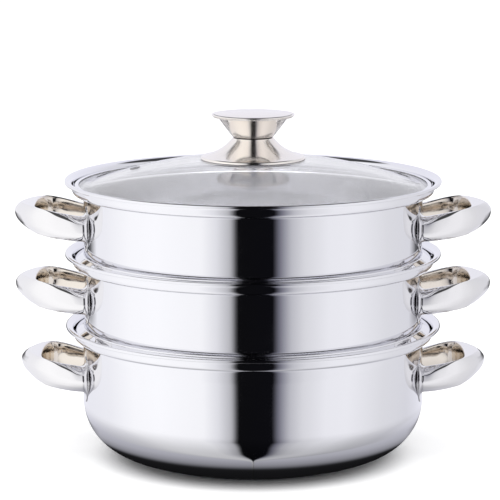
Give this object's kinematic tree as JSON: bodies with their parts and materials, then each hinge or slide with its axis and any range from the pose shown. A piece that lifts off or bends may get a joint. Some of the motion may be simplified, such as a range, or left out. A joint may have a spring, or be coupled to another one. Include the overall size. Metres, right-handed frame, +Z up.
{
  "type": "steamer pot",
  "caption": "Stainless steel stock pot with stacked perforated steamer tiers, loop handles, and a domed glass lid with a steel rim and knob.",
  "frame": {"origin": "centre of the pot's underside", "axes": "+Z up; the loop handles lie along +X and -X"},
  "size_m": [0.3726, 0.294, 0.2722],
  "materials": {
    "polished_steel": "mirror-polished stainless steel",
    "knob_steel": "polished stainless steel, faint circular grain",
    "hidden_steel": "machined steel",
    "core_aluminium": "plain",
    "lid_glass": "clear tempered glass",
    "silicone": "translucent white silicone"
  },
  "bodies": {
    "pot": {"pot_body": "polished_steel", "pot_base_core": "core_aluminium", "pot_base_cap": "polished_steel", "pot_left_grip": "polished_steel", "pot_left_feet": "polished_steel", "pot_right_grip": "polished_steel", "pot_right_feet": "polished_steel"},
    "lower_steamer": {"lower_steamer_body": "polished_steel", "lower_steamer_left_grip": "polished_steel", "lower_steamer_left_feet": "polished_steel", "lower_steamer_right_grip": "polished_steel", "lower_steamer_right_feet": "polished_steel"},
    "upper_steamer": {"upper_steamer_body": "polished_steel", "upper_steamer_left_grip": "polished_steel", "upper_steamer_left_feet": "polished_steel", "upper_steamer_right_grip": "polished_steel", "upper_steamer_right_feet": "polished_steel"},
    "lid": {"lid_glass": "lid_glass", "lid_rim_band": "polished_steel", "vent_eyelet": "polished_steel", "knob_skirt": "knob_steel", "knob_grip": "knob_steel", "knob_cap": "knob_steel", "knob_boss": "hidden_steel", "knob_screw": "hidden_steel", "knob_washer": "hidden_steel", "knob_seal_lower": "silicone", "knob_seal_upper": "silicone"}
  },
  "joints": [
    {"name": "lower_steamer_lift", "type": "slide", "parent": "pot", "child": "lower_steamer", "axis": [0, 0, 1], "range_m": [0, 0.15]},
    {"name": "upper_steamer_lift", "type": "slide", "parent": "lower_steamer", "child": "upper_steamer", "axis": [0, 0, 1], "range_m": [0, 0.15]},
    {"name": "lid_lift", "type": "slide", "parent": "upper_steamer", "child": "lid", "axis": [0, 0, 1], "range_m": [0, 0.15]}
  ]
}
